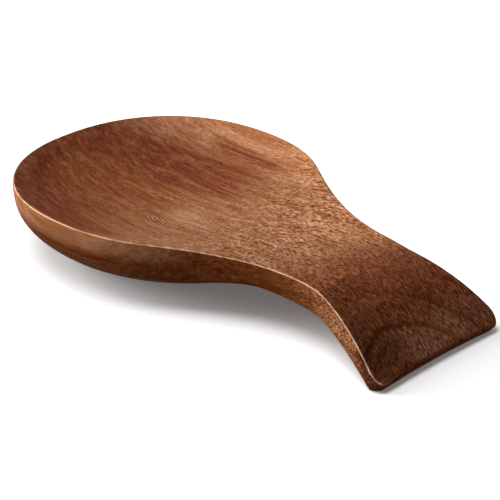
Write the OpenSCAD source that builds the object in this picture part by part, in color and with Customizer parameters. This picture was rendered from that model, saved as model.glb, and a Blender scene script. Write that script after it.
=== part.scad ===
// Wooden spoon rest, carved from one block: a round dished bowl, a neck and a drooping handle.
// Millimetres. X runs from the bowl's tip to the handle's end, Z is up and the table is Z = 0.
// The sizes below are taken from the middle of the bowl. The part is drawn centred on the origin.

/* [Bowl] */
// Width of the bowl over its rim
bowl_width = 120; // [100:1:140]
// Length of the oval that the rim follows
bowl_length = 122; // [100:1:140]
// Fullness of that oval: 2 is an ellipse, more is squarer
bowl_fullness = 2.2; // [2:0.01:2.6]
// Height of the rim above the table
rim_height = 29.4; // [26:0.1:36]
// Depth of the dish below the rim
dish_depth = 15.5; // [6:0.5:18]
// Fullness of the dish: 2 is a plain bowl, more has a flatter floor and steeper sides
dish_fullness = 2.1; // [2:0.05:3]

/* [Belly] */
// Width of the flat that the bowl stands on
base_width = 60; // [50:1:84]
// Reach of the belly from the middle of the bowl towards the handle
belly_reach = 84.5; // [60:0.5:90]
// Fullness of the belly's side: 2 is a quarter ellipse, less is flatter
belly_fullness = 1.93; // [1.3:0.01:2.4]
// Distance over which the belly's side softens into the neck
belly_softening = 94; // [40:1:110]

/* [Neck] */
// Angle round the bowl, from its tip, at which the outline leaves for the neck
neck_leave_angle = 126; // [115:1:135]
// Distance of the narrowest point
neck_distance = 106; // [92:0.5:110]
// Width at the narrowest point
neck_width = 50.5; // [40:0.5:62]
// Pull of the neck's curve along the bowl's edge
neck_pull_bowl = 41.5; // [20:0.5:46]
// Pull of the neck's curve along the handle
neck_pull_handle = 19; // [10:0.5:30]

/* [Handle] */
// Distance of the handle's end
handle_reach = 145; // [130:0.5:160]
// Width of the handle's end
end_width = 72.5; // [56:0.5:84]
// How late the handle spreads: 1 is a straight taper
handle_spread = 1.15; // [1.05:0.01:2]
// Radius of the two corners of the end, seen from above
end_corner = 4; // [2:0.1:12]
// Hollow of the end's edge, seen from above
end_hollow = 1; // [0:0.1:1.3]
// How far the end's face runs back under its top edge
end_undercut = 1.6; // [0:0.1:2]
// Height of the end's top edge above the table
end_height = 2.9; // [2:0.1:6]
// Distance at which the rim starts to fall towards the neck
fall_start = 0.5; // [0:0.5:30]
// Length over which that fall sets in
fall_length = 40.5; // [10:0.5:60]
// Fall of the neck for each millimetre of its length
fall_slope = 0.05; // [0.02:0.002:0.1]
// Distance at which the handle starts to curl down to the table
bend_start = 96; // [84:0.5:104]

/* [Edges] */
// Thickness of the wood at the bowl's edge
bowl_edge_thickness = 5.1; // [4:0.1:13]
// Thickness of the neck
neck_thickness = 10.8; // [9:0.1:15]
// Thickness of the handle at its end
end_thickness = 4.1; // [4:0.1:13]
// How late the handle thins: 1 is a straight taper
handle_thinning = 2.6; // [1:0.1:4]
// Lean of the wall below the rim, out at its top and in again at its bottom
wall_lean = 9.5; // [0:0.5:24]
// Radius of the rim's edge
rim_round = 0.8; // [0.6:0.1:1.8]
// Radius of the lower edge
lower_round = 1.5; // [0.6:0.1:3]

/* [Hidden] */

wood = [0.50, 0.27, 0.14];

half_length = bowl_length / 2;
half_width = bowl_width / 2;

// The handle's curl is one arc that leaves the neck's line and lands at the end's height
bend_run = handle_reach - bend_start;
bend_drop = rim_height - end_height - neck_fall(handle_reach);
bend_radius = (bend_run * bend_run + bend_drop * bend_drop) / (2 * bend_drop);

// Steps along the outline, then rows across a rib
bowl_steps = 40;
neck_steps = 14;
handle_steps = 9;
foot_steps = 4;
corner_steps = 5;
end_steps = 6;
top_rows = 12;
rim_rows = 6;
wall_rows = 4;
lower_rows = 4;
under_rows = 12;

// How far out along the middle line the ribs of the tip and of the foot gather
tip_gather = 0.8;
foot_gather = 0.1;

// Wood planed off the belly, so that its side meets the flat base at an edge
planed = 0.8;
// Straight edge left between the start of the foot and its corner
least_foot = 1;
// Share of the edge's height below the rim that the lower edge may take
lower_share = 0.3;
// Shares of the end's corner that the rim's edge and the lower edge may take there, and the least round left
rim_corner_share = 0.3;
lower_corner_share = 0.65;
least_round = 0.3;

function lerp(a, b, t) = a + (b - a) * t;
function clamp01(t) = min(max(t, 0), 1);
function ease(t) = let (c = clamp01(t)) c * c * (3 - 2 * c);
function soft_ramp(t) = t <= 0 ? 0 : t < 1 ? t ^ 3 - t ^ 4 / 2 : t - 0.5;
function unit(v) = v / norm(v);
function oval(x, y, power) = (abs(x) ^ power + abs(y) ^ power) ^ (1 / power);
function bezier(p, t) =
    (1 - t) ^ 3 * p[0] + 3 * (1 - t) ^ 2 * t * p[1] + 3 * (1 - t) * t ^ 2 * p[2] + t ^ 3 * p[3];

// Outline seen from above, from the tip along the +Y side to the middle of the handle's end
bowl_power = 2 / bowl_fullness;
function bowl_edge(angle) = [
    -half_length * sign(cos(angle)) * abs(cos(angle)) ^ bowl_power,
    half_width * sin(angle) ^ bowl_power
];
function bowl_way(angle) = unit([
    half_length * sin(angle) * abs(cos(angle)) ^ (bowl_power - 1),
    half_width * cos(angle) * sin(angle) ^ (bowl_power - 1)
]);
leave_point = bowl_edge(neck_leave_angle);
leave_way = bowl_way(neck_leave_angle);
neck_point = [neck_distance, neck_width / 2];
neck_curve = [
    leave_point,
    leave_point + leave_way * neck_pull_bowl,
    neck_point - [neck_pull_handle, 0],
    neck_point
];

handle_length = handle_reach - neck_distance;
function handle_edge(x) = [
    x, lerp(neck_width, end_width, ((x - neck_distance) / handle_length) ^ handle_spread) / 2
];
end_way = unit(handle_edge(handle_reach) - handle_edge(handle_reach - end_corner));
corner_turn = atan2(end_way.y, end_way.x);
corner_start = handle_edge(handle_reach - end_corner * (1 + end_way.y));
corner_centre = corner_start + end_corner * [end_way.y, -end_way.x];

// The foot is the flat under the handle's end, from where the underside meets the table
foot_line = min(foot_meets(neck_distance, handle_reach), corner_start.x - least_foot);
function foot_meets(before, after, tries = 20) =
    let (x = (before + after) / 2)
    tries == 0 ? after :
    neck_under(x) > 0 ? foot_meets(x, after, tries - 1) : foot_meets(before, x, tries - 1);

outline = [
    for (i = [0:bowl_steps]) bowl_edge(neck_leave_angle * i / bowl_steps),
    for (i = [1:neck_steps]) bezier(neck_curve, i / neck_steps),
    for (i = [1:handle_steps]) handle_edge(lerp(neck_distance, foot_line, i / handle_steps)),
    for (i = [1:foot_steps]) handle_edge(lerp(foot_line, corner_start.x, i / foot_steps)),
    for (i = [1:corner_steps])
        let (a = (90 + corner_turn) * (1 - i / corner_steps)) corner_centre + end_corner * [cos(a), sin(a)],
    for (i = [1:end_steps])
        let (share = 1 - i / end_steps)
        [handle_reach - end_hollow * (1 - share ^ 2), corner_centre.y * share]
];
foot_rib = bowl_steps + neck_steps + handle_steps;
last_rib = len(outline) - 1;

function outward(i) =
    i == 0 ? [-1, 0] :
    i == last_rib ? [1, 0] :
    let (way = unit(outline[i + 1] - outline[i - 1])) [-way.y, way.x];

// Height of the rim, level over the bowl and falling along the handle
function neck_fall(x) = fall_slope * fall_length * soft_ramp((x - fall_start) / fall_length);
function bend_sine(x) = clamp01((x - bend_start) / bend_radius);
function bend_cosine(x) = sqrt(1 - bend_sine(x) ^ 2);
function rim(x) = rim_height - neck_fall(x) - bend_radius * (1 - bend_cosine(x));

// Underside: the neck's flat runs out all round to the edge, and the belly swells down from it.
// At the bowl's sides the belly drops steeply from the edge, and towards the neck it eases off.
function thickness(x) =
    lerp(
        lerp(bowl_edge_thickness, neck_thickness, ease(x / neck_distance)),
        end_thickness,
        clamp01((x - neck_distance) / handle_length) ^ handle_thinning
    ) / bend_cosine(x);
function neck_under(x) = rim(x) - thickness(x);
function belly_side(climb) = 1 - (1 - climb ^ belly_fullness) ^ (1 / belly_fullness);
planed_share = planed / (planed + rim_height - bowl_edge_thickness);
planed_climb = (1 - (1 - planed_share) ^ belly_fullness) ^ (1 / belly_fullness);
belly_start = (base_width / bowl_width - planed_climb) / (1 - planed_climb);
function belly_climb(p) =
    let (out = oval(p.x / (p.x < 0 ? half_length : belly_reach), p.y / half_width, bowl_fullness))
    clamp01((out - belly_start) / (1 - belly_start));
function belly_under(p) =
    let (
        climb = belly_climb(p),
        swell = lerp(belly_side(climb), ease(climb), ease(p.x / belly_softening))
    )
    lerp(-planed, neck_under(p.x), swell);
function under(p) = max(belly_under(p), 0);

// Share of the way from p to q at which the belly reaches its flat base
function base_meets(p, q, before = 0, after = 1, tries = 20) =
    let (share = (before + after) / 2)
    tries == 0 ? after :
    belly_under(lerp(p, q, share)) > 0
    ? base_meets(p, q, share, after, tries - 1)
    : base_meets(p, q, before, share, tries - 1);

// A rib runs from the middle line over the dish to the rim, round the edge and back underneath
function spine_x(i) =
    i > foot_rib
    ? lerp(foot_line, handle_reach, foot_gather * (i - foot_rib) / (last_rib - foot_rib))
    : outline[i].x * (outline[i].x < 0 ? tip_gather : 1);

// Underneath, the ribs lean so that one of them meets the middle line at the front of the base
front_rib = bowl_steps + 2;
front_x = outline[front_rib].x;
base_front = neck_distance * (1 - base_meets([neck_distance, 0], [0, 0]));
function keel_x(i) =
    let (x = spine_x(i))
    x < 0 || x > neck_distance ? x :
    x < front_x ? x * base_front / front_x :
    lerp(base_front, neck_distance, (x - front_x) / (neck_distance - front_x));

function rib(i) =
    let (
        edge = outline[i],
        out = outward(i),
        spine = [spine_x(i), 0],
        behind = edge.x < 0,
        depth = dish_depth * (1 - ease(spine.x / neck_distance)),
        slope = atan(dish_fullness * depth / (behind ? norm(edge) : max(edge.y, 1))),
        end_way = ease((edge.x - bend_start) / (foot_line - bend_start)),
        crown = lerp(rim_round, min(rim_round, rim_corner_share * end_corner + least_round), end_way),
        inset = crown * (cos(wall_lean) + sin(slope)),
        brim = edge - out * inset,
        set_back = end_undercut * ease((edge.x - foot_line) / (handle_reach - end_hollow - foot_line)),
        toe = edge - out * set_back,
        corner_low = max(lower_corner_share * (end_corner - end_undercut), least_round),
        low = min(
            lerp(lower_round, min(lower_round, corner_low), end_way),
            lower_share * (rim(edge.x) - under(toe))
        ),
        wall_top = rim(edge.x) - crown * (1 - sin(wall_lean)),
        wall_foot = under(toe) + low * (1 - sin(wall_lean)),
        swell = tan(wall_lean) * (wall_top - wall_foot),
        turned = toe - out * low * cos(wall_lean),
        keel = [keel_x(i), 0],
        last = 1 - 1 / under_rows,
        base = belly_under(turned) > 0 ? min(base_meets(turned, keel), last) : last
    )
    [
        for (k = [0:top_rows - 1])
            let (
                share = k / top_rows,
                p = lerp(spine, brim, share),
                out_share = behind
                    ? min(oval(p.x / (half_length - inset), p.y / (half_width - inset), bowl_fullness), 1)
                    : share
            )
            [p.x, p.y, rim(p.x) - crown * (1 - cos(slope)) - depth * (1 - out_share ^ dish_fullness)],
        for (k = [0:rim_rows])
            let (
                a = lerp(90 + slope, wall_lean, k / rim_rows),
                p = edge - out * crown * (cos(wall_lean) - cos(a))
            )
            [p.x, p.y, rim(p.x) - crown * (1 - sin(a))],
        for (k = [1:wall_rows - 1])
            let (share = k / wall_rows, p = lerp(edge, toe, share) + out * swell * share * (1 - share))
            [p.x, p.y, lerp(wall_top, wall_foot, share)],
        for (k = [0:lower_rows])
            let (
                a = lerp(wall_lean, 90, k / lower_rows),
                p = toe - out * low * (cos(wall_lean) - cos(a))
            )
            [p.x, p.y, under(p) + low * (1 - sin(a))],
        for (k = [1:under_rows])
            let (p = lerp(turned, keel, base * (1 - cos(90 * k / under_rows))))
            [p.x, p.y, under(p)],
        [keel.x, 0, under(keel)]
    ];

last_row = top_rows + rim_rows + wall_rows + lower_rows + under_rows + 1;

// Middle of the length: the wall at the tip swells a little past its rim
part_middle = (handle_reach + min([for (p = rib(0)) p.x])) / 2;

// The -Y half mirrors the +Y half, and shares its points along the middle line
function on_middle(i, k) = i == 0 || i == last_rib || k == 0 || k == last_row;
function point_number(side, i, k) =
    side == 0 || on_middle(i, k)
    ? i * (last_row + 1) + k
    : (last_rib + 1) * (last_row + 1) + (i - 1) * (last_row - 1) + k - 1;

// The four-sided patches are split so that no triangle lies flat along the middle line
function on_first_slant(i, k) = (i < last_rib / 2) == (k < last_row / 2);

module carved_body() {
    ribs = [for (i = [0:last_rib]) rib(i)];
    points = [
        for (r = ribs, p = r) p,
        for (i = [1:last_rib - 1], k = [1:last_row - 1]) [ribs[i][k].x, -ribs[i][k].y, ribs[i][k].z]
    ];
    faces = [
        for (side = [0, 1], i = [0:last_rib - 1], k = [0:last_row - 1])
            let (
                a = point_number(side, i, k),
                b = point_number(side, i + 1, k),
                c = point_number(side, i + 1, k + 1),
                d = point_number(side, i, k + 1)
            )
            each on_first_slant(i, k)
                ? side == 0 ? [[a, c, b], [a, d, c]] : [[a, b, c], [a, c, d]]
                : side == 0 ? [[a, d, b], [b, d, c]] : [[a, b, d], [b, c, d]]
    ];
    color(wood)
        translate([-part_middle, 0, 0])
            polyhedron(points, faces, convexity = 6);
}

carved_body();
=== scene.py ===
"""Carved wooden spoon rest, dressed for its picture.

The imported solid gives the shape. This file smooths a copy of it, grows wood through it and sets the stage.
"""

import math
from collections import namedtuple

import bmesh
import bpy
from mathutils import Matrix, Vector


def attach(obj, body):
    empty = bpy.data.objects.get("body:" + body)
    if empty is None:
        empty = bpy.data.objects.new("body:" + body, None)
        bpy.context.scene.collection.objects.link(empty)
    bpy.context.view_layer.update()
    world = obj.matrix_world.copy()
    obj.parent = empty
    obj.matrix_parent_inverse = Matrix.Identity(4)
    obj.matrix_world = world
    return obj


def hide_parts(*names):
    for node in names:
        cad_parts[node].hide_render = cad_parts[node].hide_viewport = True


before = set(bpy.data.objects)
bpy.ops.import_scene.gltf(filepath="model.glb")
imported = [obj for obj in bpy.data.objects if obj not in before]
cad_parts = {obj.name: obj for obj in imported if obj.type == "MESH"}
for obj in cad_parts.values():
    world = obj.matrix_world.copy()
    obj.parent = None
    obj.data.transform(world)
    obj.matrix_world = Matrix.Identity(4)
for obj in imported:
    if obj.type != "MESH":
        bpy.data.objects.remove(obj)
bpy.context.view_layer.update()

bl_info = {
    "name": "Carved Spoon Rest",
    "version": (1, 0, 0),
    "blender": (4, 5, 0),
    "location": "View3D > Sidebar > Spoon Rest",
    "description": "Dresses the carved spoon rest in oiled hardwood and sets a pale studio round it",
    "category": "Object",
}

NODE = "carved_body"
PIECE = "carved_wood"

# Carving: height of a face that lies on the table, triangles that pair up, hold of a flat face's edge
TABLE_LEVEL = 1e-6
PAIR_BEND = math.radians(35)
PAIR_SKEW = math.radians(70)
HELD_EDGE = 0.9

# Edges: fade of the painted highlight across the block, and the rise of the normal at the crown and the side
HIGHLIGHT_FADE = (-0.018, 0.012)
CROWN_RISE = 0.64
CROWN_SPREAD = 0.40
SIDE_RISE = 0.90
FAR_SIDE_RISE = 0.98
SIDE_SPREAD = 0.35
FAR_EDGE_PLACE = 0.004
FAR_EDGE_LEAN = 0.15

# Spans along the block in metres, from the bowl's tip to the handle's end
TO_NECK = (-0.078, -0.012)
BELT_END = (-0.040, -0.012)
CURL_START = (-0.040, 0.020)
NECK_STROKES = (-0.035, 0.020)
OPEN_GRAIN = (-0.035, 0.030)
LIT_BAND_END = (-0.006, 0.014)
LEAN_RUN = (0.0, 0.050)
AT_NECK = (0.005, 0.035)
BELLY_SHADE_END = (0.010, 0.040)
CALM_HANDLE = (0.025, 0.060)
HANDLE_FLECKS = (0.026, 0.060)
HANDLE_STROKES = (0.030, 0.060)
SIDE_STROKES = (0.040, 0.070)
HANDLE_SIDE = (0.042, 0.080)
SIDE_END = (0.084, 0.096)
LIP_LIGHT = (0.0970, 0.1005)

# Spans along the block, counted from the heart's start
HEART_LENGTH = (-0.030, -0.005)
CREST = (-0.030, -0.002)
DEEP_CREST = (-0.006, 0.008)
HEART_DEPTH = (0.004, 0.022)
HEART_END = (0.022, 0.036)

# Spans across the block, from the near side to the far side
NEAR_LEAN = (-0.035, 0.030)
FAR_HEART = (-0.034, 0.006)
GREY_START = (-0.020, -0.004)
HEART_FRONT = (-0.014, 0.008)
NEAR_SIDE = (-0.010, 0.006)
FAR_CREST = (0.0, 0.012)
FAR_SIDE = (0.002, 0.022)
GREY_END = (0.010, 0.028)
FAR_CORE = (0.012, 0.022)

# Spans of height above the table
BELLY_SHADE = (0.009, 0.017)
UNDER_RIM = (0.0192, 0.0245)

# Spans of distance from the pith, and inwards from the heart's edge
RED_BELT = (0.068, 0.077)
OUTER_GROWTH = (0.083, 0.100)
HEART_EDGE = (-0.0003, 0.0007)

# Spans of distance from the bud
NEAR_BUD = (0.0, 0.014)
ARCS_IN = (0.003, 0.008)
ARCS_OUT = (0.011, 0.020)
ARCS_BEHIND = (-0.008, -0.001)

# Dark years in the dish: distance from the pith, turn along the dish, half width and where they show,
# then the share of the width that is fully dark, the lengths of the fades and the strength
Ring = namedtuple("Ring", "radius turn half start end")
MIDDLE_RING = Ring(radius=0.0632, turn=0.0, half=0.0034, start=-0.084, end=-0.016)
FAR_RING = Ring(radius=0.0797, turn=0.138, half=0.0048, start=-0.068, end=-0.014)
RING_CORE = 0.3
RING_FADE_IN = 0.014
RING_FADE_OUT = 0.016
RING_STRENGTH = 0.85

# Waves of each noise for a metre along, across and up
DRIFT_WAVES = (9, 22, 22)
SWAY_WAVES = (11, 26, 26)
CURL_WAVES = (110, 55, 55)
ARC_WAVES = (60, 90, 90)
FIBRE_WAVES = (28, 480, 480)
PATCH_WAVES = (40, 130, 130)
FLECK_WAVES = (850, 4000, 4000)

# How far the noises push the growth and the fibres, in metres
DRIFT_PUSH = 0.016
SWAY_PUSH = 0.006
CURL_PUSH = 0.0018

# Shape of the growth: slant of the far crest, the bud's swirl, unevenness of its arcs and of the years
CREST_SLANT = -0.45
BUD_STRENGTH = 0.85
BUD_SHAPE = (0.85, 1.0, 0.0)
ARC_SLANT = -0.5
ARC_UNEVEN = 5.0
YEAR_UNEVEN = 7.0
UNEVEN_YEARS = 3.2
FINE_YEAR = 0.09

# How much each kind of grain deepens the tone, as a change of its gamma
PLAIN_DEPTH = 0.97
FIBRE_DEPTH = 0.14
FINE_DEPTH = 0.03
STROKE_DEPTH = -0.15
ARC_DEPTH = 0.38
LATE_DEPTH = 0.05
LINE_DEPTH = 0.18

# Finish: what the pores add to the roughness, the relief of the open grain, and the oil
PORE_ROUGHNESS = 0.22
STROKE_RELIEF = 0.35
RELIEF_STRENGTH = 0.6
OIL_IOR = 1.46
OIL_GLOSS = 0.005

# Ends of a band that fades out, and of one that swings both ways
FADE = (1.0, 0.0)
BOTH_WAYS = (-1.0, 1.0)

# Stage: where the floor turns white behind the object, what the lamps face, and the camera's film and reach
WHITE_BACK = (0.030, 0.046)
LAMP_AIM = (0.0, 0.0, 0.01)
FILM_WIDTH = 36.0
CAMERA_REACH = (0.01, 50.0)


def colour_setting(name, description, default):
    return bpy.props.FloatVectorProperty(
        name=name,
        description=description,
        default=default,
        size=3,
        min=0.0,
        max=1.0,
        subtype="COLOR",
    )


def place_setting(name, description, default):
    return bpy.props.FloatVectorProperty(
        name=name,
        description=description,
        default=default,
        size=3,
        subtype="TRANSLATION",
        unit="LENGTH",
    )


class CarvedBodySettings(bpy.types.PropertyGroup):
    """Smoothing of the carved body"""

    merge_distance: bpy.props.FloatProperty(
        name="Merge Distance",
        description="Corners of the solid's triangles closer than this become one",
        default=0.000002,
        precision=6,
        unit="LENGTH",
    )
    smoothing: bpy.props.IntProperty(
        name="Smoothing",
        description="Steps of subdivision on the carved surface",
        default=1,
        min=0,
        max=2,
    )
    edge_bend: bpy.props.FloatProperty(
        name="Edge Bend",
        description="Turn of the surface at a corner that counts as a fully rubbed edge",
        default=math.radians(14),
        subtype="ANGLE",
    )


class WoodSettings(bpy.types.PropertyGroup):
    """Growth and finish of the hardwood"""

    pale: colour_setting("Pale Wood", "Colour of the palest growth", (0.435, 0.178, 0.081))
    brown: colour_setting(
        "Brown Wood", "Colour of the deeper growth towards the bowl's tip", (0.250, 0.072, 0.025)
    )
    tan: colour_setting("Tan Wood", "Colour of the yellower growth towards the neck", (0.315, 0.130, 0.059))
    red: colour_setting("Red Wood", "Colour of the redder growth", (0.203, 0.055, 0.023))
    crest: colour_setting("Crest Wood", "Colour of the wood round the dark heart", (0.215, 0.061, 0.0255))
    heart: colour_setting("Heartwood", "Colour of the dark heart on its near side", (0.076, 0.0215, 0.0072))
    heart_far: colour_setting(
        "Far Heartwood", "Colour of the dark heart on its far side", (0.118, 0.031, 0.0105)
    )
    olive: colour_setting(
        "Olive Wood", "Colour of the greyer heart at the handle's end", (0.270, 0.112, 0.055)
    )
    # Partly the wood's own tone and partly painted shade: the whole outer side is kept darker than the top
    flank: colour_setting(
        "Flank Wood", "Colour of the dark wood low on the outer side", (0.180, 0.044, 0.0115)
    )
    bud_tone: colour_setting("Bud Wood", "Colour of the pale swirl round the bud", (0.44, 0.212, 0.100))
    # Painted highlight: a cream line on the crown of the near edges, where the rounded rim catches the light
    rim_highlight: colour_setting(
        "Painted Rim Highlight", "Colour of the highlight painted on the crown of the near edges", (0.95, 0.62, 0.40)
    )
    pith_side: bpy.props.FloatProperty(
        name="Pith Side",
        description="Where the pith of the tree lay across the block",
        default=-0.015,
        unit="LENGTH",
    )
    pith_height: bpy.props.FloatProperty(
        name="Pith Height",
        description="Height of the pith under the middle of the block",
        default=-0.0321,
        unit="LENGTH",
    )
    pith_rise: bpy.props.FloatProperty(
        name="Pith Rise",
        description="Rise of the pith for each unit of length towards the handle",
        default=0.1,
    )
    heart_radius: bpy.props.FloatProperty(
        name="Heart Radius",
        description="Distance from the pith at which the dark heartwood ends",
        default=0.0507,
        unit="LENGTH",
    )
    heart_start: bpy.props.FloatProperty(
        name="Heart Start",
        description="Place along the block at which the handle cuts into the heartwood",
        default=0.0636,
        unit="LENGTH",
    )
    heart_spread: bpy.props.FloatProperty(
        name="Heart Spread",
        description="How much wider the heartwood grows for each unit of length towards the handle's end",
        default=0.5,
    )
    bud: place_setting(
        "Bud", "Place in the dish where a bud left a pale swirl in the growth", (-0.030, -0.001, 0.0)
    )
    arc_width: bpy.props.FloatProperty(
        name="Arc Width",
        description="Spacing of the arcs of growth round the bud",
        default=0.0016,
        precision=5,
        unit="LENGTH",
    )
    ring_width: bpy.props.FloatProperty(
        name="Ring Width",
        description="Width of one year's growth",
        default=0.0050,
        unit="LENGTH",
    )
    pore_length: bpy.props.FloatProperty(
        name="Pore Length",
        description="Length of a pore along the grain",
        default=0.0090,
        unit="LENGTH",
    )
    pore_width: bpy.props.FloatProperty(
        name="Pore Width",
        description="Spacing of the pores across the grain",
        default=0.00110,
        precision=5,
        unit="LENGTH",
    )
    pore_depth: bpy.props.FloatProperty(
        name="Pore Depth",
        description="Depth of the pores under the oiled surface",
        default=0.00008,
        precision=6,
        unit="LENGTH",
    )
    stroke_length: bpy.props.FloatProperty(
        name="Stroke Length",
        description="Length of the fine strokes of open grain",
        default=0.0020,
        precision=5,
        unit="LENGTH",
    )
    stroke_width: bpy.props.FloatProperty(
        name="Stroke Width",
        description="Width of the fine strokes of open grain",
        default=0.00029,
        precision=5,
        unit="LENGTH",
    )
    polish: bpy.props.FloatProperty(
        name="Polish",
        description="Roughness of the oiled surface between its pores",
        default=0.44,
        min=0.0,
        max=1.0,
        subtype="FACTOR",
    )


class StageSettings(bpy.types.PropertyGroup):
    """Floor, lamps and camera"""

    floor_colour: colour_setting("Floor", "Colour of the floor", (0.92, 0.92, 0.92))
    glow_colour: colour_setting(
        "Glow", "Colour of the floor's own glow, which shows in the shadow", (1.0, 0.93, 0.90)
    )
    floor_size: bpy.props.FloatProperty(
        name="Floor Size",
        description="Side of the square floor",
        default=6.0,
        unit="LENGTH",
    )
    floor_return: bpy.props.FloatProperty(
        name="Floor Return",
        description="Share of its light that the floor throws back on the object",
        default=0.28,
        min=0.0,
        max=1.0,
        subtype="FACTOR",
    )
    floor_white: bpy.props.FloatProperty(
        name="Floor White",
        description="How many times its own colour the floor shows to the camera",
        default=1.22,
        min=0.5,
        max=2.0,
    )
    floor_glow: bpy.props.FloatProperty(
        name="Floor Glow",
        description="White that the floor shows to the camera on top of its own light",
        default=0.12,
        min=0.0,
        max=1.0,
    )
    # Painted light: behind the object the floor glows brighter, which washes out the object's shadow there
    back_glow: bpy.props.FloatProperty(
        name="Back Glow",
        description="The same behind the object, where it washes out the object's shadow",
        default=0.75,
        min=0.0,
        max=1.0,
    )
    sky: bpy.props.FloatProperty(
        name="Sky",
        description="Light of the white room on the object",
        default=0.12,
        min=0.0,
        max=2.0,
    )
    side_power: bpy.props.FloatProperty(
        name="Side Lamp",
        description="Power of the low lamp beyond the bowl's tip",
        default=61.0,
        unit="POWER",
    )
    side_place: place_setting("Side Lamp Place", "Middle of the low lamp's face", (-1.96, -1.22, 0.84))
    top_power: bpy.props.FloatProperty(
        name="Top Lamp",
        description="Power of the lamp overhead",
        default=36.0,
        unit="POWER",
    )
    top_place: place_setting("Top Lamp Place", "Middle of the overhead lamp's face", (-0.58, -0.58, 2.26))
    lamp_size: bpy.props.FloatProperty(
        name="Lamp Size",
        description="Width of the round face of each lamp",
        default=1.8,
        unit="LENGTH",
    )
    view_turn: bpy.props.FloatProperty(
        name="View Turn",
        description="Turn of the camera round the object",
        default=math.radians(44.33),
        subtype="ANGLE",
    )
    view_height: bpy.props.FloatProperty(
        name="View Height",
        description="Angle of the camera above the floor",
        default=math.radians(26.57),
        subtype="ANGLE",
    )
    view_distance: bpy.props.FloatProperty(
        name="View Distance",
        description="Distance of the camera from the point that it looks at",
        default=0.7813,
        unit="LENGTH",
    )
    view_point: place_setting("View Point", "Point that the camera looks at", (0.00961, -0.00482, 0.0150))
    lens: bpy.props.FloatProperty(
        name="Lens",
        description="Focal length on a 36 mm film, in millimetres",
        default=144.0,
    )


class NodeDesk:
    """Lays out the nodes of one tree, each placed and joined in one call."""

    rows = 6
    column_width = 220
    row_height = 190

    def __init__(self, tree):
        self.tree = tree
        self.count = 0

    def add(self, kind, label="", **settings):
        node = self.tree.nodes.new(kind)
        node.label = label
        column, row = divmod(self.count, self.rows)
        node.location = (self.column_width * column, -self.row_height * row)
        self.count += 1
        for name, value in settings.items():
            setattr(node, name, value)
        return node

    def feed(self, node, inputs):
        """Join each input to the socket given for it, or set it to the value."""
        for name, value in inputs.items():
            if isinstance(value, bpy.types.NodeSocket):
                self.tree.links.new(value, node.inputs[name])
            else:
                node.inputs[name].default_value = value
        return node

    def calc(self, operation, a, b=0.0, c=0.0, label=""):
        node = self.add("ShaderNodeMath", label, operation=operation)
        return self.feed(node, {0: a, 1: b, 2: c}).outputs[0]

    def times(self, a, b, label=""):
        return self.calc("MULTIPLY", a, b, label=label)

    def plus(self, base, value, amount, label=""):
        """Base with so much of the value added to it."""
        return self.calc("MULTIPLY_ADD", value, amount, base, label)

    def shift(self, operation, a, b, label=""):
        node = self.add("ShaderNodeVectorMath", label, operation=operation)
        return self.feed(node, {0: a, 1: b}).outputs[0]

    def scale(self, vector, factor, label=""):
        node = self.add("ShaderNodeVectorMath", label, operation="SCALE")
        return self.feed(node, {0: vector, "Scale": factor}).outputs[0]

    def length(self, vector, label=""):
        node = self.add("ShaderNodeVectorMath", label, operation="LENGTH")
        return self.feed(node, {0: vector}).outputs["Value"]

    def parts(self, vector, label=""):
        return self.feed(self.add("ShaderNodeSeparateXYZ", label), {0: vector}).outputs

    def join(self, x, y, z, label=""):
        return self.feed(self.add("ShaderNodeCombineXYZ", label), {0: x, 1: y, 2: z}).outputs[0]

    def mark(self, name, label=""):
        """Value that the mesh carries at its corners under that name."""
        return self.add("ShaderNodeAttribute", label, attribute_name=name).outputs["Fac"]

    def noise(self, vector, waves, detail=2.0, roughness=0.5, label="", output="Fac"):
        mapping = self.add("ShaderNodeMapping", label + " Size")
        sized = self.feed(mapping, {"Vector": vector, "Scale": waves}).outputs[0]
        node = self.add("ShaderNodeTexNoise", label)
        inputs = {"Vector": sized, "Scale": 1.0, "Detail": detail, "Roughness": roughness}
        return self.feed(node, inputs).outputs[output]

    def layers(self, distance, width, detail, label):
        node = self.add("ShaderNodeTexNoise", label, noise_dimensions="1D")
        inputs = {"W": distance, "Scale": 1.0 / width, "Detail": detail, "Roughness": 0.6}
        return self.feed(node, inputs).outputs["Fac"]

    def sway(self, vector, waves, push, label, strength=1.0):
        """Vector pushed across the grain by a soft noise."""
        moved = self.noise(vector, waves, 1.5, label=label, output="Color")
        moved = self.shift("SUBTRACT", moved, (0.5, 0.5, 0.5), label + " Both Ways")
        moved = self.shift("MULTIPLY", moved, (0.0, push, push), label + " Push")
        moved = self.scale(moved, strength, label + " Strength")
        return self.shift("ADD", vector, moved, label + " Grain")

    def band(self, value, span, label="", ends=(0.0, 1.0)):
        """Smooth change from one end to the other as the value crosses the span."""
        node = self.add("ShaderNodeMapRange", label, interpolation_type="SMOOTHSTEP")
        return self.feed(node, {0: value, 1: span[0], 2: span[1], 3: ends[0], 4: ends[1]}).outputs[0]

    def blend(self, factor, a, b, label=""):
        node = self.add("ShaderNodeMix", label, data_type="RGBA")
        return self.feed(node, {0: factor, 6: a, 7: b}).outputs[2]


def rgba(colour):
    return (colour[0], colour[1], colour[2], 1.0)


def waves_for(length, width):
    """Waves for a metre of a noise whose marks have that length along the grain and width across it."""
    return (1 / length, 1 / width, 1 / width)


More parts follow.
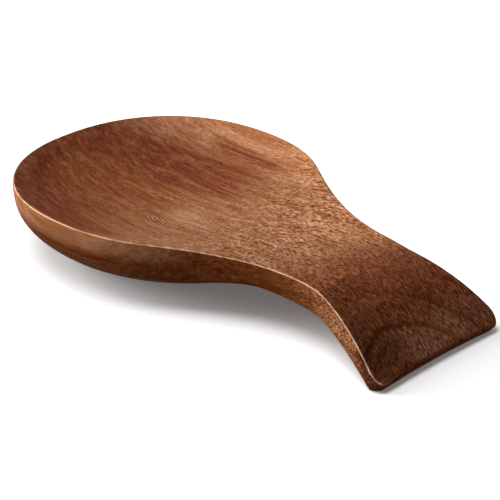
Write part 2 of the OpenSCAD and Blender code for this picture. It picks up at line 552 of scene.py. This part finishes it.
class Block:
    """A point's place in the block of wood, and in the grain that grew through it."""

    def __init__(self, desk, wood):
        self.place = desk.add("ShaderNodeTexCoord", "Block").outputs["Object"]
        self.along, self.across, self.up = desk.parts(self.place, "Sides")
        self.outside = desk.mark("outer_side", "Outer Side")

        # The fibres wander as the trunk grew, lean over on the near side of the neck and curl there
        self.bent = desk.sway(self.place, SWAY_WAVES, SWAY_PUSH, "Sway")
        run = desk.calc("MAXIMUM", self.along, LEAN_RUN[0])
        run = desk.calc("MINIMUM", run, LEAN_RUN[1], label="Neck Run")
        lean = desk.times(run, desk.band(self.across, NEAR_LEAN, "Near Lean", (0.22, 0.0)), "Lean")
        leant = desk.shift("ADD", self.bent, desk.join(0.0, lean, 0.0, "Leaning"))
        curly = desk.band(self.along, CURL_START, "Curly", (0.3, 1.0))
        self.curled = desk.sway(leant, CURL_WAVES, CURL_PUSH, "Curl", curly)
        self.radius = pith_distance(desk, self.bent, wood)

        # On top the place is pressed flat, so that short grain runs on down the handle
        drop = desk.band(self.outside, (0.6, 1.0), "Drop", (0.10, 1.0))
        press = desk.join(1.0, 1.0, drop, "Press")
        self.pressed = desk.shift("MULTIPLY", self.curled, press, "Pressed Flat")


def pith_distance(desk, place, wood):
    """Distance from the pith, which runs along the block and rises towards the handle."""
    along, across, up = desk.parts(place, "Along, Across, Up")
    side = desk.calc("SUBTRACT", across, wood.pith_side, label="Side of Pith")
    pith = desk.plus(wood.pith_height, along, wood.pith_rise, "Pith Height")
    above = desk.calc("SUBTRACT", up, pith, label="Above Pith")
    return desk.length(desk.join(0.0, side, above, "Across the Trunk"), "Pith Distance")


def dark_ring(desk, block, ring, label):
    """One dark year's growth, seen between two places along the dish."""
    turned = desk.plus(block.radius, block.along, ring.turn, label + " Turn")
    gap = desk.calc("ABSOLUTE", desk.calc("SUBTRACT", turned, ring.radius, label="Off " + label))
    near = desk.band(gap, (RING_CORE * ring.half, ring.half), label, FADE)
    begun = desk.band(block.along, (ring.start, ring.start + RING_FADE_IN), label + " Start")
    ended = desk.band(block.along, (ring.end - RING_FADE_OUT, ring.end), label + " End", FADE)
    return desk.times(near, desk.times(begun, ended), label + " Seen")


def growth_colour(desk, block, wood):
    """Brown wood that turns tan towards the neck, with a red belt, pale outer growth and two dark rings."""
    drift = desk.noise(block.place, DRIFT_WAVES, label="Growth Drift")
    drifted = desk.plus(block.radius, drift, DRIFT_PUSH, "Drifted Growth")
    to_neck = desk.band(block.along, TO_NECK, "To Neck")
    tone = desk.blend(to_neck, rgba(wood.brown), rgba(wood.tan), "Lengthwise")
    belt = desk.times(
        desk.band(drifted, RED_BELT, "Belt In"),
        desk.band(block.along, BELT_END, "Belt End", FADE),
        "Red Belt",
    )
    tone = desk.blend(belt, tone, rgba(wood.red), "Belt Colour")
    far_neck = desk.times(
        desk.band(block.across, FAR_SIDE, "Far Side", (0.0, 0.75)),
        desk.band(block.along, AT_NECK, "At the Neck"),
        "Far Neck",
    )
    outer = desk.band(drifted, OUTER_GROWTH, "Outer Growth")
    outer = desk.calc("MAXIMUM", outer, far_neck, label="Pale Growth")
    tone = desk.blend(outer, tone, rgba(wood.pale), "Growth Colour")
    middle = dark_ring(desk, block, MIDDLE_RING, "Middle Ring")
    far = dark_ring(desk, block, FAR_RING, "Far Ring")
    rings = desk.times(desk.calc("MAXIMUM", middle, far), RING_STRENGTH, "Dark Rings")
    return desk.blend(rings, tone, rgba(wood.red), "Ring Colour")


def heart_colour(desk, tone, block, wood):
    """The handle's curl cuts down through a red crest into the dark heart, which widens to its end."""
    across = block.across
    past = desk.calc("SUBTRACT", block.along, wood.heart_start, label="Past Heart Start")
    edge = desk.plus(wood.heart_radius, desk.calc("MAXIMUM", past, 0.0), wood.heart_spread, "Heart Edge")
    inside = desk.calc("SUBTRACT", edge, block.radius)
    inside = desk.times(
        desk.band(inside, HEART_EDGE, "Inside Heart"),
        desk.band(past, HEART_LENGTH, "Heart Length"),
    )
    depth = desk.calc(
        "MAXIMUM",
        desk.band(across, HEART_FRONT, "Heart Front", (0.70, 0.45)),
        desk.band(past, HEART_DEPTH, "Heart Depth"),
    )
    heart = desk.times(inside, depth, "Heart")

    farther = desk.plus(past, desk.calc("MAXIMUM", across, 0.0), CREST_SLANT, "Far Crest")
    crest = desk.band(farther, CREST, "Crest", (0.0, 0.9))
    tone = desk.blend(crest, tone, rgba(wood.crest), "Crest Colour")
    deeper = desk.times(
        desk.band(past, DEEP_CREST, "Deeper Crest", (0.0, 0.4)),
        desk.band(across, FAR_CREST, "Far Deeper"),
        "Deep Crest",
    )
    tone = desk.blend(deeper, tone, rgba(wood.heart_far), "Deep Crest Colour")

    far_heart = desk.band(across, FAR_HEART, "Far Heart")
    core = desk.blend(far_heart, rgba(wood.heart), rgba(wood.heart_far), "Core")
    grey = desk.times(
        desk.band(past, HEART_END, "Heart End"),
        desk.band(across, GREY_START, "Grey Start"),
        "Grey Heart",
    )
    grey = desk.times(grey, desk.band(across, GREY_END, "Grey End", (1.0, 0.6)), "Grey Middle")
    core = desk.blend(grey, core, rgba(wood.olive), "Grey Core")
    far_core = desk.band(across, FAR_CORE, "Far Core", (0.0, 0.35))
    core = desk.blend(far_core, core, rgba(wood.crest), "Far Core Colour")
    return desk.blend(heart, tone, core, "Heart Colour"), heart


def outer_colour(desk, tone, block, wood):
    """Outer side: dark flank, partly wood tone and partly painted shade; painted light under the bowl's near
    rim, painted shade low down; paler on the handle, dark at its end.
    """
    along, up = block.along, block.up
    near = desk.band(block.across, NEAR_SIDE, "Near Side", FADE)
    # Painted light: on the near side the outer wall is paler in a band under the rim
    pale = desk.times(
        desk.band(up, UNDER_RIM, "Under the Rim"),
        desk.band(along, LIT_BAND_END, "Lit Band End", (0.86, 0.0)),
        "Painted Lit Band",
    )
    pale = desk.times(pale, near, "Near Lit Band")
    side = desk.blend(pale, rgba(wood.flank), rgba(wood.pale), "Belly Colour")
    handle = desk.times(near, desk.band(along, HANDLE_SIDE, "Handle Side", (0.0, 0.36)), "Near Handle")
    side = desk.blend(handle, side, rgba(wood.bud_tone), "Side Colour")
    side = desk.blend(desk.band(along, SIDE_END, "Side End"), side, rgba(wood.heart), "Side End Colour")
    # Painted light: the rounded lip at the handle's end is lifted to the crest's tone to offset its shade
    lip_light = desk.band(along, LIP_LIGHT, "Painted Lip Light", (0.0, 0.6))
    side = desk.blend(lip_light, side, rgba(wood.crest), "Lip Light Colour")
    # Painted shade: low on the outer side, towards the table, the belly darkens to the heart's colour
    belly_shade = desk.times(
        desk.band(up, BELLY_SHADE, "Belly Shade Height", (0.8, 0.0)),
        desk.band(along, BELLY_SHADE_END, "Belly Shade End", FADE),
        "Painted Belly Shade",
    )
    side = desk.blend(belly_shade, side, rgba(wood.heart), "Belly Shade Colour")
    return desk.blend(block.outside, tone, side, "Outer Colour")


def bud_swirl(desk, block, wood):
    """Nearness to the bud in the dish, and the uneven arcs of growth on its near side."""
    gap = desk.shift("SUBTRACT", block.bent, wood.bud, "From Bud")
    flat = desk.shift("MULTIPLY", gap, BUD_SHAPE, "Swirl Shape")
    distance = desk.length(flat, "Swirl Distance")
    drift = desk.times(desk.noise(block.bent, ARC_WAVES, label="Arc Drift"), ARC_UNEVEN)
    turn = desk.plus(drift, distance, 2 * math.pi / wood.arc_width, "Arc Turn")
    arcs = desk.calc("SINE", turn, label="Swirl Arcs")
    ring = desk.times(
        desk.band(distance, ARCS_IN, "Arcs In"),
        desk.band(distance, ARCS_OUT, "Arcs Out", FADE),
        "Arc Belt",
    )
    forward, sideways, _ = desk.parts(gap, "Bud Sides")
    behind = desk.plus(sideways, forward, ARC_SLANT, "Behind Bud")
    ring = desk.times(ring, desk.band(behind, ARCS_BEHIND, "Near Arcs", FADE))
    return desk.band(distance, NEAR_BUD, "Near Bud", FADE), desk.times(arcs, ring, "Bud Arcs")


def year_lines(desk, radius, wood):
    """A thin dark line at the end of each year's growth."""
    uneven = desk.layers(radius, wood.ring_width * UNEVEN_YEARS, 1.0, "Uneven Years")
    turn = desk.times(radius, math.pi / wood.ring_width, "Year Turn")
    wave = desk.calc("SINE", desk.plus(turn, uneven, YEAR_UNEVEN), label="Years Round")
    return desk.band(wave, (0.82, 1.0), "Year Line")


def grain_strokes(desk, block, wood):
    """Short strokes of open grain along the block, stronger in some patches than in others."""
    size = waves_for(wood.stroke_length, wood.stroke_width)
    stroke = desk.noise(block.pressed, size, 0.0, label="Strokes")
    stroke = desk.band(stroke, (0.28, 0.72), "Stroke Tone", BOTH_WAYS)
    patch = desk.noise(block.pressed, PATCH_WAVES, 1.0, label="Stroke Patches")
    patch = desk.band(patch, (0.30, 0.60), "Patchy", (0.75, 1.1))
    return desk.times(stroke, patch, "Patchy Strokes")


def stroke_strength(desk, block):
    """On top the strokes are strongest at the neck, and on the outer side along the handle."""
    neck = desk.band(block.along, NECK_STROKES, "Neck Strokes", (0.22, 0.60))
    handle = desk.band(block.along, HANDLE_STROKES, "Handle Strokes", (0.0, -0.20))
    side = desk.band(block.along, SIDE_STROKES, "Side Strokes", (-0.32, 0.3))
    top = desk.calc("ADD", neck, handle, label="Top Strength")
    return desk.plus(top, block.outside, side, "Stroke Strength")


def grain_depth(desk, block, fibre, pore, wood):
    """How deep fibres, pores and layers of growth make the tone, calmer on the handle."""
    calm = desk.band(block.along, CALM_HANDLE, "Calm Handle", (1.0, 0.3))
    deep = desk.plus(PLAIN_DEPTH, desk.times(fibre, calm), FIBRE_DEPTH, "Fibre Depth")
    open_grain = desk.band(block.along, OPEN_GRAIN, "Open Grain", (0.08, 0.30))
    open_grain = desk.times(open_grain, calm, "Calm Grain")
    open_grain = desk.times(open_grain, desk.band(block.outside, (0.3, 1.0), "Side Grain", (1.0, 0.35)))
    pores = desk.times(desk.calc("SUBTRACT", pore, 0.3), open_grain, "Pore Lines")
    deep = desk.calc("ADD", deep, pores, label="Pore Depth")
    fine = desk.layers(block.radius, wood.ring_width * FINE_YEAR, 1.0, "Fine Growth")
    fine = desk.band(fine, (0.35, 0.65), "Fine Layers", BOTH_WAYS)
    deep = desk.plus(deep, fine, FINE_DEPTH, "Fine Depth")
    late = desk.layers(block.radius, wood.ring_width, 2.0, "Years")
    late = desk.band(late, (0.52, 0.66), "Late Wood", (-0.4, 1.0))
    return desk.plus(deep, late, LATE_DEPTH, "Year Depth")


def grain_light(desk, block, strokes, strength):
    """Strokes, and light flecks on the handle, scale the light of the tone and leave its hue."""
    light = desk.plus(1.0, strokes, strength, "Stroke Light")
    fleck = desk.noise(block.pressed, FLECK_WAVES, 0.0, label="Flecks")
    fleck = desk.band(fleck, (0.42, 0.74), "Fleck Tone", (-0.4, 1.0))
    handle = desk.band(block.along, HANDLE_FLECKS, "Handle Flecks", (0.0, 0.6))
    return desk.plus(light, fleck, handle, "Fleck Light")


def grow_wood(wood):
    """Oiled hardwood: growth rings round a pith under the block, fibres along it and open pores."""
    material = bpy.data.materials.new("oiled_hardwood")
    material.use_nodes = True
    material.node_tree.nodes.clear()
    desk = NodeDesk(material.node_tree)
    block = Block(desk, wood)

    tone = growth_colour(desk, block, wood)
    near_bud, arcs = bud_swirl(desk, block, wood)
    near_bud = desk.times(near_bud, BUD_STRENGTH, "Bud Tone")
    tone = desk.blend(near_bud, tone, rgba(wood.bud_tone), "Bud Colour")
    tone, heart = heart_colour(desk, tone, block, wood)
    tone = outer_colour(desk, tone, block, wood)

    fibre = desk.noise(block.curled, FIBRE_WAVES, 4.0, 0.6, "Fibres")
    fibre = desk.band(fibre, (0.32, 0.68), "Fibre Tone", BOTH_WAYS)
    pore = desk.noise(block.curled, waves_for(wood.pore_length, wood.pore_width), 1.0, label="Pores")
    pore = desk.band(pore, (0.48, 0.62), "Open Pores")
    strokes = grain_strokes(desk, block, wood)
    strength = stroke_strength(desk, block)

    deep = grain_depth(desk, block, fibre, pore, wood)
    deep = desk.plus(deep, desk.times(strokes, strength), STROKE_DEPTH, "Stroke Depth")
    deep = desk.plus(deep, arcs, ARC_DEPTH, "Arc Depth")
    lines = desk.times(year_lines(desk, block.radius, wood), heart, "Heart Lines")
    deep = desk.plus(deep, lines, LINE_DEPTH, "Tone Depth")
    wooden = desk.add("ShaderNodeGamma", "Deepened Wood")
    wooden = desk.feed(wooden, {"Color": tone, "Gamma": deep}).outputs[0]
    wooden = desk.scale(wooden, grain_light(desk, block, strokes, strength), "Flecked Wood")

    # Painted highlight on the crown of the near rim and the handle's near edge, broken up by the fibres
    highlight = desk.band(desk.mark("highlight_mark", "Painted Rim Highlight"), (0.30, 0.75), "Rub")
    edge_highlight = desk.times(highlight, desk.band(fibre, (-0.8, 0.8), "Broken Highlight", (1.0, 0.45)), "Worn")
    wooden = desk.blend(edge_highlight, wooden, rgba(wood.rim_highlight), "Highlighted Wood")

    rough = desk.plus(wood.polish, pore, PORE_ROUGHNESS, "Pore Roughness")
    relief = desk.plus(desk.calc("SUBTRACT", 1.0, pore), strokes, STROKE_RELIEF, "Relief")
    bump = desk.add("ShaderNodeBump", "Open Grain Relief")
    desk.feed(bump, {"Height": relief, "Strength": RELIEF_STRENGTH, "Distance": wood.pore_depth})

    skin = desk.add("ShaderNodeBsdfPrincipled", "Oiled Wood")
    desk.feed(skin, {"Base Color": wooden, "Roughness": rough, "Normal": bump.outputs["Normal"]})
    skin.inputs["IOR"].default_value = OIL_IOR
    skin.inputs["Specular IOR Level"].default_value = OIL_GLOSS
    desk.feed(desk.add("ShaderNodeOutputMaterial", "Surface"), {"Surface": skin.outputs["BSDF"]})
    return material


def seen_rays(desk):
    """One for rays that show the floor or the room: to the camera, in a gloss or through glass."""
    path = desk.add("ShaderNodeLightPath", "Rays")
    seen = desk.calc("MAXIMUM", path.outputs["Is Camera Ray"], path.outputs["Is Glossy Ray"])
    return desk.calc("MAXIMUM", seen, path.outputs["Is Transmission Ray"], label="Seen")


def share(value, start, end):
    """How far the value has gone from the start to the end, from 0 to 1."""
    return min(max((value - start) / (end - start), 0.0), 1.0)


class SPOONREST_OT_body(bpy.types.Operator):
    """Smooth a copy of the carved solid and grow wood through it"""

    bl_idname = "spoon_rest.body"
    bl_label = "Carved Body"
    bl_options = {"REGISTER", "UNDO"}

    def execute(self, context):
        carving = context.scene.spoon_rest_body
        mesh = bpy.data.meshes.new(PIECE)
        shape = bmesh.new()
        shape.from_mesh(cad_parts[NODE].data)
        bmesh.ops.remove_doubles(shape, verts=shape.verts, dist=carving.merge_distance)
        self.flatten_rests(shape)
        bmesh.ops.join_triangles(
            shape,
            faces=[f for f in shape.faces if len(f.verts) == 3],
            angle_face_threshold=PAIR_BEND,
            angle_shape_threshold=PAIR_SKEW,
        )
        self.mark_edges(shape, carving.edge_bend)
        for face in shape.faces:
            face.smooth = True
        shape.to_mesh(mesh)
        shape.free()
        # The solid's own normals would show its facets through the smoothing
        if "custom_normal" in mesh.attributes:
            mesh.attributes.remove(mesh.attributes["custom_normal"])
        piece = bpy.data.objects.new(PIECE, mesh)
        context.scene.collection.objects.link(piece)
        smooth = piece.modifiers.new("Smoothed Carving", "SUBSURF")
        smooth.levels = smooth.render_levels = carving.smoothing
        mesh.materials.append(grow_wood(context.scene.spoon_rest_wood))
        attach(piece, "root")
        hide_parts(NODE)
        return {"FINISHED"}

    def flatten_rests(self, shape):
        """The base and the handle's foot each become one flat face with a held edge."""
        floor = [f for f in shape.faces if max(v.co.z for v in f.verts) < TABLE_LEVEL]
        made = bmesh.ops.dissolve_faces(shape, faces=floor, use_verts=True)["region"]
        crease = shape.edges.layers.float.new("crease_edge")
        for face in made:
            for edge in face.edges:
                edge[crease] = HELD_EDGE

    def mark_edges(self, shape, full):
        """Mark the outer side, and the crown of the near edges, which gets a painted highlight."""
        shape.normal_update()
        rim_highlight = shape.verts.layers.float.new("highlight_mark")
        outer = shape.verts.layers.float.new("outer_side")
        fade_start, fade_end = HIGHLIGHT_FADE
        for vert in shape.verts:
            turn = max((e.calc_face_angle(0.0) for e in vert.link_edges), default=0.0)
            rise = vert.normal.z
            near = share(vert.co.y, fade_end, fade_start)
            crown = max(1.0 - abs(rise - CROWN_RISE) / CROWN_SPREAD, 0.0)
            vert[rim_highlight] = near * crown * min(turn / full, 1.0)
            far = vert.co.y > FAR_EDGE_PLACE and vert.normal.y > FAR_EDGE_LEAN
            begins = FAR_SIDE_RISE if far else SIDE_RISE
            vert[outer] = share(rise, begins, begins - SIDE_SPREAD)


class SPOONREST_OT_stage(bpy.types.Operator):
    """Set the pale floor, the lamps and the camera round the spoon rest"""

    bl_idname = "spoon_rest.stage"
    bl_label = "Stage"
    bl_options = {"REGISTER", "UNDO"}

    def execute(self, context):
        stage = context.scene.spoon_rest_stage
        self.lay_floor(context, stage)
        self.fill_room(context, stage)
        self.hang_lamp(context, "side_lamp", stage.side_place, stage.lamp_size, stage.side_power)
        self.hang_lamp(context, "top_lamp", stage.top_place, stage.lamp_size, stage.top_power)
        self.set_camera(context, stage)
        context.scene.view_settings.view_transform = "Standard"
        return {"FINISHED"}

    def lay_floor(self, context, stage):
        shape = bmesh.new()
        bmesh.ops.create_grid(shape, x_segments=1, y_segments=1, size=stage.floor_size / 2)
        mesh = bpy.data.meshes.new("floor")
        shape.to_mesh(mesh)
        shape.free()
        floor = bpy.data.objects.new("floor", mesh)
        context.scene.collection.objects.link(floor)
        mesh.materials.append(self.paint_floor(stage))

    def paint_floor(self, stage):
        """Matt floor that shows white to the camera and returns little light; behind the object it glows
        brighter, painted light that washes out the object's shadow there.
        """
        material = bpy.data.materials.new("pale_floor")
        material.use_nodes = True
        material.node_tree.nodes.clear()
        desk = NodeDesk(material.node_tree)
        seen = seen_rays(desk)
        matt = desk.add("ShaderNodeBsdfDiffuse", "Matt Floor")
        dim = [c * stage.floor_return for c in stage.floor_colour]
        white = [c * stage.floor_white for c in stage.floor_colour]
        desk.feed(matt, {"Color": desk.blend(seen, rgba(dim), rgba(white), "Floor Colour")})
        spot = desk.add("ShaderNodeTexCoord", "Floor Spot").outputs["Object"]
        depth = desk.parts(spot, "Floor Depth")[1]
        # Painted light behind the object: the glow rises there and washes out the object's shadow
        level = desk.band(depth, WHITE_BACK, "White Back", (stage.floor_glow, stage.back_glow))
        glow = desk.add("ShaderNodeEmission", "White Glow")
        strength = desk.times(seen, level, "Seen Glow")
        desk.feed(glow, {"Color": rgba(stage.glow_colour), "Strength": strength})
        both = desk.add("ShaderNodeAddShader", "Floor")
        desk.feed(both, {0: matt.outputs[0], 1: glow.outputs[0]})
        end = desk.add("ShaderNodeOutputMaterial", "Surface")
        desk.feed(end, {"Surface": both.outputs[0]})
        return material

    def fill_room(self, context, stage):
        world = bpy.data.worlds.new("white_room")
        context.scene.world = world
        world.use_nodes = True
        world.node_tree.nodes.clear()
        desk = NodeDesk(world.node_tree)
        seen = seen_rays(desk)
        air = desk.add("ShaderNodeBackground", "White Room")
        level = desk.add("ShaderNodeMix", "Seen White", data_type="FLOAT")
        desk.feed(level, {0: seen, 2: stage.sky, 3: 1.0})
        desk.feed(air, {"Color": (1.0, 1.0, 1.0, 1.0), "Strength": level.outputs[0]})
        end = desk.add("ShaderNodeOutputWorld", "Room")
        desk.feed(end, {"Surface": air.outputs[0]})

    def hang_lamp(self, context, name, place, size, power):
        lamp = bpy.data.lights.new(name, "AREA")
        lamp.shape = "DISK"
        lamp.size = size
        lamp.energy = power
        holder = bpy.data.objects.new(name, lamp)
        holder.location = place
        aim = Vector(LAMP_AIM) - Vector(place)
        holder.rotation_euler = aim.to_track_quat("-Z", "Y").to_euler()
        context.scene.collection.objects.link(holder)

    def set_camera(self, context, stage):
        turn, height = stage.view_turn, stage.view_height
        level = math.cos(height)
        back = Vector((math.sin(turn) * level, -math.cos(turn) * level, math.sin(height)))
        right = Vector((math.cos(turn), math.sin(turn), 0.0))
        up = back.cross(right)
        camera = bpy.data.objects.new("camera", bpy.data.cameras.new("camera"))
        camera.data.sensor_width = FILM_WIDTH
        camera.data.lens = stage.lens
        camera.data.clip_start, camera.data.clip_end = CAMERA_REACH
        stand = Matrix((right, up, back)).transposed().to_4x4()
        stand.translation = Vector(stage.view_point) + back * stage.view_distance
        camera.matrix_world = stand
        context.scene.collection.objects.link(camera)
        context.scene.camera = camera


class SPOONREST_PT_panel(bpy.types.Panel):
    """Sizes, colours and makers of the spoon rest in the sidebar"""

    bl_idname = "SPOONREST_PT_panel"
    bl_label = "Spoon Rest"
    bl_space_type = "VIEW_3D"
    bl_region_type = "UI"
    bl_category = "Spoon Rest"

    def draw(self, context):
        scene = context.scene
        for title, settings, operator in (
            ("Body", scene.spoon_rest_body, SPOONREST_OT_body.bl_idname),
            ("Wood", scene.spoon_rest_wood, None),
            ("Stage", scene.spoon_rest_stage, SPOONREST_OT_stage.bl_idname),
        ):
            box = self.layout.box()
            box.label(text=title)
            for name in settings.__annotations__:
                box.prop(settings, name)
            if operator:
                box.operator(operator)


CLASSES = (
    CarvedBodySettings,
    WoodSettings,
    StageSettings,
    SPOONREST_OT_body,
    SPOONREST_OT_stage,
    SPOONREST_PT_panel,
)


def register():
    for part in CLASSES:
        bpy.utils.register_class(part)
    bpy.types.Scene.spoon_rest_body = bpy.props.PointerProperty(type=CarvedBodySettings)
    bpy.types.Scene.spoon_rest_wood = bpy.props.PointerProperty(type=WoodSettings)
    bpy.types.Scene.spoon_rest_stage = bpy.props.PointerProperty(type=StageSettings)


def unregister():
    del bpy.types.Scene.spoon_rest_stage
    del bpy.types.Scene.spoon_rest_wood
    del bpy.types.Scene.spoon_rest_body
    for part in reversed(CLASSES):
        bpy.utils.unregister_class(part)


def main():
    register()
    bpy.ops.spoon_rest.stage()
    bpy.ops.spoon_rest.body()


if __name__ == "__main__":
    main()
